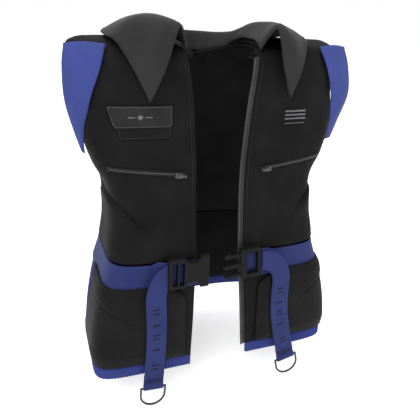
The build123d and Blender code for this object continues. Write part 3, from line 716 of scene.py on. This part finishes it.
def loft_sheet(name, stations, thickness, along, across, edge=2.0, dent=None):
    """A soft-edged sheet through stations, each a list of points across it."""
    grid = np.stack([spline(row, np.linspace(0, len(row) - 1, across))
                     for row in spline_rows(stations, along)])
    normal = unit(np.cross(np.gradient(grid, axis=1), np.gradient(grid, axis=0)))
    widths = np.stack([run_along(row) for row in grid])
    climbs = np.stack([run_along(grid[:, j]) for j in range(across)], 1)
    nearest = np.minimum.reduce([widths, widths[:, -1:] - widths, climbs, climbs[-1:] - climbs])
    roll = rolled(nearest, edge)[..., None]
    extra = dent(grid, nearest)[..., None] * roll if dent else 0
    half = thickness / 2 * roll
    front, back = grid + normal * (half + extra), grid + normal * (extra - half)
    return new_object(name, np.concatenate([front.reshape(-1, 3), back.reshape(-1, 3)]),
                      two_skins(along, across))


def sewn(inset, depth, width):
    """Relief of a sheet with one line of stitching along its edges."""
    return lambda grid, nearest: groove(nearest, inset, depth, width)


# Collar stations, front edge to back centre: stand foot, fold, middle of the leaf, leaf edge.
COLLAR_HALF = [
    [(58, -72, 5), (74, -92, 36), (94, -94, -20), (116, -91, -67)],
    [(60, -58, 12), (80, -80, 42), (111, -88, 18), (137, -88, -24)],
    [(63, -36, 16), (85, -54, 45), (124, -60, 41), (157, -66, 12)],
    [(65, -10, 16), (88, -22, 45), (128, -27, 43), (167, -32, 19)],
    [(64, 14, 15), (82, 17, 42), (123, 24, 39), (163, 30, 19)],
    [(58, 39, 7), (71, 43, 32), (103, 54, 29), (136, 65, 4)],
    [(45, 53, -3), (52, 62, 23), (70, 76, 14), (86, 88, -20)],
]
COLLAR_BACK = [(0, 66, -10), (0, 73, 19), (0, 88, 5), (0, 96, -32)]
LEFT_NARROWER = 0.78    # the wearer's left leaf is turned down closer to the neck
LEFT_LOWER = 5.0        # and lower, by twice this in the middle of the leaf
LEFT_HIGH, LEFT_BEHIND = 20, -70        # where the collar is lowered: above this, behind this


def left_collar_row(row):
    """A collar station on the wearer's left."""
    fold = row[1][0]
    placed = []
    for k, (x, y, z) in enumerate(row):
        if x > fold:
            x = fold + (x - fold) * LEFT_NARROWER
        drop = LEFT_LOWER * (2 if k == 2 else 1) if z > LEFT_HIGH and y > LEFT_BEHIND else 0
        placed.append((x, y, z - drop))
    return placed


def make_collar():
    """Stand and leaf in one folded sheet, from front edge round the back to front edge."""
    left = [left_collar_row(row) for row in COLLAR_HALF]
    right = [[(-x, y, z) for x, y, z in row] for row in COLLAR_HALF]
    stations = right + [COLLAR_BACK] + left[::-1]

    def dent(grid, nearest):
        x, y, z = (grid[..., k] for k in range(3))
        return groove(nearest, 7, 0.7, 1.2) + ripple(x + y, z, 4.2, 40, 1.2)

    collar = loft_sheet("collar", stations, 4.2, 150, 44, edge=3.0, dent=dent)
    finish_piece(collar, "vest", "shell_fabric", COLLAR_CLOTH_PAINTED_HIGHLIGHT, ("collar_stand", "collar_leaf"), fill=0.3)


# Cap stations, lower end to shoulder: inner edge, middle, outer edge.
CAP_STATIONS = [
    [(205, -46, -148), (207, -46, -147), (209, -43, -146)],
    [(206, -56, -116), (214, -52, -114), (219, -42, -112)],
    [(196, -68, -64), (217, -64, -65), (230, -51, -66)],
    [(181, -70, -22), (208, -62, -21), (230, -48, -20)],
    [(170, -57, 10), (200, -49, 12), (225, -42, 9)],
]
CAP_FLARE = (14, 16, 12, 6, 2)      # the outer edge of the wearer's left cap stands further off


def make_cap_sleeves():
    """A stiff cap of blue cloth over the front of each armhole."""
    for word, side in SIDES.items():
        flare = CAP_FLARE if side > 0 else (0,) * len(CAP_STATIONS)
        stations = [[(side * (x + out * k / 2), y, z) for k, (x, y, z) in enumerate(row)]
                    for row, out in zip(CAP_STATIONS, flare)]
        if side > 0:
            stations = stations[::-1]
        cap = loft_sheet(f"cap_{word}", stations, 2.4, 60, 18, edge=1.2, dent=sewn(5, 0.5, 1.0))
        finish_piece(cap, "vest", "cap_fabric", CAP_CLOTH, (f"cap_sleeve_{word}",))


# ---- small builders
def on_front(x, z, grow=0.0, side=1):
    """A point on the chest-side skin, seen from the front at (x, z)."""
    w = TRUNK.w_of(z)
    point = TRUNK.at(np.array([w]), np.array([TRUNK.s_front(w, abs(x))]), np.array([grow]))[0]
    return np.array([point[0] * side, point[1], point[2]])


def tube(name, path, radius, sides=8):
    """A closed tube along a line of points."""
    path = np.array(path, float)
    ahead = unit(np.gradient(path, axis=0))
    verts, faces = [], []
    u = np.cross(ahead[0], (0, 0, 1.0))
    u = u if np.linalg.norm(u) > 0.1 else np.cross(ahead[0], (0, 1.0, 0))
    for k, centre in enumerate(path):
        u = u - ahead[k] * np.dot(u, ahead[k])
        u /= np.linalg.norm(u)
        v = np.cross(ahead[k], u)
        for j in range(sides):
            turn = 2 * math.pi * j / sides
            verts.append(centre + radius * (u * math.cos(turn) + v * math.sin(turn)))
    for k in range(len(path) - 1):
        for j in range(sides):
            a, b = k * sides + j, k * sides + (j + 1) % sides
            faces.append((a, b, b + sides, a + sides))
    faces += [tuple(reversed(range(sides))), tuple(range((len(path) - 1) * sides, len(path) * sides))]
    return new_object(name, verts, faces)


def measured(path, pitch):
    """Points at an even pitch along a line, with their directions."""
    path = np.array(path, float)
    run = run_along(path)
    at = np.arange(pitch / 2, run[-1] - pitch / 2 + 1e-6, pitch)
    points, ahead = (np.stack([np.interp(where, run, path[:, k]) for k in range(3)], 1)
                     for where in (at, np.minimum(at + 0.5, run[-1])))
    return points, ahead - points


def prism_faces(base, count):
    """Faces of a closed prism: two ends of count points each, numbered from base."""
    ends = [tuple(base + k for k in range(count)), tuple(base + count + k for k in reversed(range(count)))]
    return ends + [(base + k, base + (k + 1) % count, base + count + (k + 1) % count, base + count + k)
                   for k in range(count)]


BEAD_PROFILE = [(-1, 0.55), (-0.55, 1), (0.55, 1), (1, 0.55), (1, -0.6), (-1, -0.6)]


def beads(name, path, pitch, size, out=(0, -1, 0)):
    """Rounded blocks in a row: length along the line, width across it, height along out."""
    points, runs = measured(path, pitch)
    verts, faces = [], []
    for centre, run in zip(points, runs):
        along = run / np.linalg.norm(run)
        up = np.array(out, float) - along * np.dot(out, along)
        up /= np.linalg.norm(up)
        across = np.cross(along, up)
        base, n = len(verts), len(BEAD_PROFILE)
        for end in (-1, 1):
            for a, h in BEAD_PROFILE:
                verts.append(centre + along * end * size[0] / 2 + across * a * size[1] / 2
                             + up * h * size[2] / 2)
        near_end, far_end, *walls = prism_faces(base, n)
        faces += [near_end[::-1], far_end[::-1], *walls]
    return linked(name, metre_mesh(name, verts, faces))


STITCH_PITCH = 3.6


def stitches(name, path, body):
    """A row of thread stitches along a line."""
    row = beads(name, path, STITCH_PITCH, (STITCH_PITCH * 0.68, 0.7, 0.6))
    return finish_piece(row, body, "shell_fabric", THREAD)


def plates(name, shapes, to_space, thickness=0.35):
    """Thin flat bars, each the four (or more) corners of an outline, laid by to_space(a, b, height)."""
    verts, faces = [], []
    for corners in shapes:
        base, n = len(verts), len(corners)
        for level in (0.0, thickness):
            verts += [to_space(a, b, level) for a, b in corners]
        faces += prism_faces(base, n)
    return new_object(name, verts, faces, smooth=False)


def bar(a0, b0, a1, b1):
    """Outline of an upright rectangle."""
    return [(a0, b0), (a1, b0), (a1, b1), (a0, b1)]


# ---- zips
ZIP_LOW, ZIP_HIGH = -496.0, -5.0
TAPE_NEAR, TAPE_FAR = -7.0, 2.0
PIN_HEIGHT, BOX_HEIGHT = 13.8, 8.0


def edge_path(side, z_low, z_high, shift, grow, count=60):
    """A line beside a front's centre edge, shift outwards from it."""
    return [on_front(front_edge(side, z) + shift, z, grow, side) for z in np.linspace(z_low, z_high, count)]


def make_front_zip():
    """The wearer's left half on the edge, and the right half hidden behind its edge."""
    tape = panel("front_zip_tape", 1, TRUNK.w_of(ZIP_LOW), TRUNK.w_of(ZIP_HIGH),
                 inner_front(1, TAPE_NEAR), inner_front(1, TAPE_FAR), 2.0, 0.4,
                 edge=0.6, step=5, across=1.6)
    finish_piece(tape, "vest", "zip_tape", ZIP_TAPE, ("zip_tape_left",))
    cord = tube("zip_tape_cord", edge_path(1, ZIP_LOW + 2, ZIP_HIGH - 1, TAPE_NEAR + 4.4, 2.1), 0.55, 6)
    finish_piece(cord, "vest", "zip_tape", PIPING)
    teeth = edge_path(1, ZIP_LOW + PIN_HEIGHT, ZIP_HIGH - 4, TAPE_NEAR + 1.5, 2.9)
    coil = beads("front_zip_coil", teeth, 1.9, (1.15, 2.7, 1.5))
    finish_piece(coil, "vest", "zip_teeth", ZIP_COIL, ("zip_teeth_left",))
    inner = panel("hidden_zip_tape", -1, TRUNK.w_of(ZIP_LOW), TRUNK.w_of(ZIP_HIGH), inner_front(-1),
                  inner_front(-1, 12.0), -12.7, -14.0, edge=0.6, step=5, across=2)
    finish_piece(inner, "vest", "zip_tape", ZIP_TAPE, ("zip_tape_right",))
    hidden = beads("hidden_zip_coil", edge_path(-1, ZIP_LOW + BOX_HEIGHT, ZIP_HIGH - 4, 1.5, -15.0), 1.9,
                   (1.15, 2.7, 1.4), out=(0, 1, 0))
    finish_piece(hidden, "vest", "zip_teeth", ZIP_COIL, ("zip_teeth_right",))


CHEST_INNER, CHEST_OUTER = (63.0, -175.5), (179.0, -161.5)


def chest_path(side, shift, trim, grow, count=30):
    """A line along a chest zip, shift above its middle."""
    rise = (CHEST_OUTER[1] - CHEST_INNER[1]) / (CHEST_OUTER[0] - CHEST_INNER[0])
    xs = np.linspace(CHEST_INNER[0] + trim, CHEST_OUTER[0] - trim, count)
    return [on_front(x, CHEST_INNER[1] + rise * (x - CHEST_INNER[0]) + shift, grow, side) for x in xs]


def make_chest_zips():
    """Tape, coil and two seams of each slanting chest zip."""
    for word, side in SIDES.items():
        rows = [chest_path(side, shift, 0.5, 1.2) for shift in (-3.4, -1.2, 1.2, 3.4)]
        stations = [list(column) for column in zip(*rows)]
        tape = loft_sheet(f"chest_tape_{word}", stations, 1.4, 60, 10, edge=0.6)
        finish_piece(tape, "vest", "zip_tape", FLAP_CLOTH, (f"chest_zip_tape_{word}",))
        coil = beads(f"chest_coil_{word}", chest_path(side, 0, 4, 2.9), 1.7, (1.05, 1.9, 1.3))
        finish_piece(coil, "vest", "zip_teeth", ZIP_COIL, (f"chest_zip_coil_{word}",))
        for level in (-2.8, 2.8):
            end = "low" if level < 0 else "high"
            stitches(f"chest_zip_seam_{word}_{end}", chest_path(side, level, 2, 2.1), "vest")


# ---- patch pocket, flap, marks
def rounded(near, far, low, radius):
    """Half-width limits of a patch whose lower corners are rounded."""
    def cut(z):
        d = min(max(z - low, 0.0), radius)
        return radius - math.sqrt(max(radius * radius - (radius - d) ** 2, 0.0))
    return lambda z: near(z) + cut(z), lambda z: far(z) - cut(z)


def by_height(points):
    """A value that changes with height, through (height, value) points."""
    table = np.array(sorted(points), float)
    return lambda z: float(np.interp(z, table[:, 0], table[:, 1]))


def patch(name, low, high, near, far, outer, inner):
    """Flat cloth laid on the wearer's right chest."""
    return panel(name, -1, TRUNK.w_of(low), TRUNK.w_of(high), lambda w: TRUNK.s_front(w, near(height(w))),
                 lambda w: TRUNK.s_front(w, far(height(w))), outer, inner, edge=1.0, step=3.0)


def rim(near, far, low, high, inset, grow):
    """Line round the sides and lower end of a patch."""
    down = [on_front(far(z) - inset, z, grow, -1) for z in np.linspace(high - 1, low + inset, 16)]
    across = [on_front(x, low + inset, grow, -1)
              for x in np.linspace(far(low + inset) - inset, near(low + inset) + inset, 24)]
    back = [on_front(near(z) + inset, z, grow, -1) for z in np.linspace(low + inset, high - 1, 16)]
    return down + across[1:-1] + back


POCKET_LOW, POCKET_HIGH = -119.5, -76.0
FLAP_LOW, FLAP_HIGH = -102.0, -72.0
PIPING_RADIUS = 0.95


def make_pocket():
    """Chest patch pocket and its piped flap, with a plain mark in place of the photo's."""
    near, far = rounded(by_height([(POCKET_LOW, 84), (POCKET_HIGH, 84)]),
                        by_height([(POCKET_LOW, 160.5), (POCKET_HIGH, 168)]), POCKET_LOW, 6)
    pocket = patch("patch_pocket", POCKET_LOW, POCKET_HIGH, near, far, 2.0, 0.4)
    finish_piece(pocket, "vest", "shell_fabric", POCKET_CLOTH, ("chest_pocket",))
    stitches("patch_pocket_seam", rim(near, far, POCKET_LOW, POCKET_HIGH, 2.4, 2.1), "vest")
    near, far = rounded(by_height([(FLAP_LOW, 83), (FLAP_HIGH, 83)]),
                        by_height([(FLAP_LOW, 167), (FLAP_HIGH, 175)]), FLAP_LOW, 5)
    flap = patch("pocket_flap_cloth", FLAP_LOW, FLAP_HIGH, near, far, 3.8, 2.2)
    finish_piece(flap, "pocket_flap", "shell_fabric", FLAP_CLOTH, ("chest_pocket_flap",))
    edging = tube("pocket_flap_piping", rim(near, far, FLAP_LOW, FLAP_HIGH, 0.9, 3.5), PIPING_RADIUS)
    finish_piece(edging, "pocket_flap", "shell_fabric", PIPING)
    top_line = [on_front(x, FLAP_HIGH - 1.4, 3.4, -1) for x in np.linspace(84, 174, 30)]
    top = tube("pocket_flap_top", top_line, PIPING_RADIUS)
    finish_piece(top, "pocket_flap", "shell_fabric", PIPING)
    stitches("pocket_flap_seam", rim(near, far, FLAP_LOW, FLAP_HIGH, 3.4, 3.9), "pocket_flap")
    emblem = [bar(112, -88.2, 122, -86.8), [(125, -87.5), (129.5, -91.5), (134, -87.5), (129.5, -83.5)],
              bar(137, -88.2, 147, -86.8)]
    mark = plates("flap_mark", emblem, lambda a, b, h: on_front(a, b, 3.75 + h, -1))
    finish_piece(mark, "pocket_flap", "shell_fabric", MARK)


def make_chest_mark():
    """Plain bars over a dotted line on the wearer's left chest."""
    shapes = [bar(104.0, z, 142.0, z + 2.6) for z in (-87.5, -93.3, -99.1)]
    shapes += [bar(x, -106.0, x + 1.9, -104.3) for x in np.arange(104.5, 141.0, 3.1)]
    mark = plates("chest_mark", shapes, lambda a, b, h: on_front(a, b, 0.5 + h, 1), 0.5)
    finish_piece(mark, "vest", "shell_fabric", MARK)


# ---- straps
STRAP_TOP = np.array([0.0, -134.0, -366.0])
LEAN = 5.0 / 176.0
STRAP_OUT = np.array([0.0, -1.0, LEAN]) / math.hypot(1.0, LEAN)
STRAP_UP = np.array([0.0, LEAN, 1.0]) / math.hypot(1.0, LEAN)
TURN_LINES = {
    "right": ([(-99.4, 12.5), (-99.9, 9.5), (-100.6, 6.5), (-101.2, 3.2), (-101.5, 0)],
              [(-99.4, 57.5), (-110, 51.5), (-121.5, 41), (-131, 21), (-135.5, 0)]),
    "left": ([(66.0, 22), (75, 20), (82.5, 13.5), (86, 6), (87, 0)],
             [(62.8, 58.8), (81, 56.5), (100.5, 44.5), (115, 22), (121, 0)]),
}
TAIL_LINES = {"right": [(-118.5, 0), (-118, -75), (-124.5, -172)],
              "left": [(104, 0), (107, -72), (129, -170)]}
HALF_TAIL = 17.0
LOOP = 2.95             # middle of the webbing round a D-ring bar
END_LAP = 26.0


def in_strap(a, b, out=0.0):
    """A point of the strap plane: a across, b up from the bend, out towards the front."""
    return STRAP_TOP + np.array([1.0, 0, 0]) * a + STRAP_UP * b + STRAP_OUT * out


def tail_frame(word):
    """Middle line of a tail, its end direction and its bar."""
    points = np.array(TAIL_LINES[word], float)
    run = unit(points[-1] - points[-2])
    return spline(points, np.linspace(0, 2, 40)), run, points[-1] + run * 2.7


def strap_rows(word, table, run, bar_at):
    """Both edges of the webbing and its height, row by row: bend, tail, loop round the D-ring bar."""
    inner, outer = (spline(np.array(edge, float), np.linspace(0, 4, 26)) for edge in TURN_LINES[word])
    rows = [(a, b, 0.0) for a, b in zip(inner, outer)]
    blend_in = np.linspace(0, 1, len(table))[:, None] ** 0.5
    directions = np.array([0, -1.0]) * (1 - blend_in) + unit(np.gradient(table, axis=0)) * blend_in
    directions[-1] = run
    sides = unit(np.stack([-directions[:, 1], directions[:, 0]], 1) * SIDES[word])
    keep = table[:, 1] > table[-1, 1] + 6
    for centre, across in zip(table[1:][keep[1:]], sides[1:][keep[1:]]):
        rows.append((centre - across * HALF_TAIL, centre + across * HALF_TAIL, 0.0))
    across = np.array([-run[1], run[0]]) * SIDES[word]
    end = [(-9.0, 0.6), (-5.0, 1.9), (-1.5, 2.9)]
    end += [(LOOP * math.sin(t), LOOP * math.cos(t)) for t in np.linspace(0.25, math.pi, 9)]
    end += [(-5.0, -2.6), (-END_LAP / 2, -2.2), (-END_LAP, -2.2)]
    for distance, out in end:
        centre = bar_at + run * distance
        rows.append((centre - across * HALF_TAIL, centre + across * HALF_TAIL, out))
    return rows


def make_straps():
    """Bend and loose tail of each strap in one sheet that crosses the tail's hinge."""
    for word in SIDES:
        table, run, bar_at = tail_frame(word)
        stations = [[in_strap(*(a + (b - a) * f), out) for f in np.linspace(0, 1, 5)]
                    for a, b, out in strap_rows(word, table, run, bar_at)]
        strap = loft_sheet(f"strap_webbing_{word}", stations, WEBBING, len(stations) * 2, 21, edge=0.8,
                           dent=sewn(2.6, 0.25, 0.6))
        strap.data.materials.append(BELT_WEB)
        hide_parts(f"strap_turn_{word}", f"strap_tail_{word}")
        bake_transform(strap)
        tail_details(word, table, run, bar_at)


def tacking(start, stop, low, high):
    """Slanted strokes of a bar-tack."""
    return [[(a, low), (a + 1.1, low), (a + 7.1, high), (a + 6.0, high)]
            for a in np.arange(start, stop, 3.6)]


def tail_details(word, table, run, bar_at):
    """Generic dashes down the tail and its slanted bar-tack."""
    def placed(centre, along, level):
        side = np.array([-along[1], along[0]]) * SIDES[word]
        return lambda a, b, h: in_strap(*(centre + side * a + along * b), level + h)

    for k, share in enumerate(np.linspace(0.22, 0.78, 5)):
        i = int(share * (len(table) - 1))
        along = unit(table[i + 1] - table[i])
        shapes = [bar(-6, -2, 6, 2)] if k % 2 else [bar(-6, -5.4, 6, -2.2), bar(-6, 2.2, 6, 5.4)]
        dash = plates(f"tail_dash_{word}_{k}", shapes, placed(table[i], along, 0.9), 0.3)
        finish_piece(dash, f"tail_{word}", "blue_webbing", DARK_MARK)
    hatch = plates(f"bar_tack_{word}", tacking(-16.0, 9.5, -19, -10.5), placed(bar_at, run, 1.0), 0.4)
    finish_piece(hatch, f"tail_{word}", "blue_webbing", DARK_MARK)


BELT_ENDS = {"right": [(-120, -118.8), (-111, -121.2), (-100, -126.4), (-84, -127.9), (-72, -127.9)],
             "left": [(88, -121.2), (76, -121.8), (64, -123.4), (52, -124.6), (38, -124.7)]}
BUCKLE_Z, BELT_END_HALF = -326.0, 18.4
FIRST_NARROWER = 0.75   # the first station of a belt end, where it leaves the belt
TAB_Y, TAB_TOP, TAB_LOW = 122.2, -441.0, -503.0


def make_belt_ends():
    """Webbing from the belt to each buckle half, and the tab that holds the rear D-ring."""
    for word in SIDES:
        stations = [[(x, y, BUCKLE_Z + k * BELT_END_HALF * (1 if i else FIRST_NARROWER))
                     for k in (-1, -0.4, 0.4, 1)] for i, (x, y) in enumerate(BELT_ENDS[word])]
        piece = loft_sheet(f"belt_end_web_{word}", stations, WEBBING, 40, 16, edge=0.8)
        finish_piece(piece, "vest", "blue_webbing", BELT_WEB, (f"belt_end_{word}",))
    path = [(TAB_TOP, TAB_Y), (-470, TAB_Y), (-492, TAB_Y + 0.3), (-498, TAB_Y + 1.0)]
    path += [(TAB_LOW - LOOP * math.sin(t), TAB_Y + 3.0 - LOOP * math.cos(t))
             for t in np.linspace(0.1, math.pi - 0.1, 9)]
    path += [(-498, TAB_Y + 4.4), (-492, TAB_Y + 2.5), (-476, TAB_Y + 2.2)]
    stations = [[(x, y, z) for x in (-16, -6, 6, 16)] for z, y in path]
    tab = loft_sheet("rear_tab_web", stations, WEBBING, 50, 16, edge=0.8)
    finish_piece(tab, "vest", "blue_webbing", BELT_WEB, ("rear_ring_tab",))
    hatch = plates("rear_tab_tack", tacking(-15.0, 8.5, -486, -478),
                   lambda a, b, h: np.array([a, TAB_Y + 3.1 + h, b]), 0.4)
    finish_piece(hatch, "vest", "blue_webbing", DARK_MARK)


def make_hang_loop():
    """Tape loop inside the back of the neck."""
    half = [(16.2, -31), (16.2, -23), (15.0, -20.6), (11.2, -15.2), (9.0, -12.9), (4, -12.8)]
    path = half + [(-x, z) for x, z in reversed(half)]
    stations = [[(x, 58.2, z), (x, 61.5, z), (x, 64.8, z)] for x, z in path]
    loop = loft_sheet("hang_loop_tape", stations, 1.4, 50, 10, edge=0.6)
    finish_piece(loop, "vest", "shell_fabric", LINING_CLOTH, ("hang_loop",))


# ---- seams
def make_seams():
    """Stitching beside the front edges and along both edges of the waist webbing."""
    for word, side in SIDES.items():
        stitches(f"front_edge_seam_{word}", edge_path(side, -306, -12, 8.5, 1.0, 90), "vest")
        stitches(f"skirt_edge_seam_{word}", edge_path(side, -488, -368, 8.5, 0.6, 40), "vest")
        for z, label in ((BELT_LOW + 3.2, "low"), (BELT_HIGH - 3.2, "high")):
            w = TRUNK.w_of(z)
            start = TRUNK.s_front(w, front_edge(side, z) + 6)
            shares = np.linspace(start, 0.995, 200)
            points = TRUNK.at(np.full(200, w), shares, np.full(200, 2.75))
            points[:, 0] *= side
            row = beads(f"belt_seam_{word}_{label}", points, 4.0, (2.7, 0.6, 0.5), out=(0, 0, 1))
            finish_piece(row, "vest", "blue_webbing", BLUE_THREAD)


# ---- CAD nodes that stay
def dress_carried_nodes():
    """Finishes for the CAD's own buckle, rings and zip hardware."""
    finishes = {"buckle_plastic": BUCKLE_PLASTIC, "ring_steel": RING_STEEL,
                "zip_slider_metal": SLIDER_METAL, "zip_teeth": ZIP_COIL}
    slots = {part["node"]: part["material_slot"] for part in frame["record"]["subparts"]}
    for node, slot in slots.items():
        if slot in finishes:
            obj = bpy.data.objects[node]
            obj.data.materials.clear()
            obj.data.materials.append(finishes[slot])


make_fronts()
make_back()
make_skirt()
make_belt()
make_collar()
make_cap_sleeves()
make_front_zip()
make_chest_zips()
make_pocket()
make_chest_mark()
make_straps()
make_belt_ends()
make_hang_loop()
make_seams()
dress_carried_nodes()
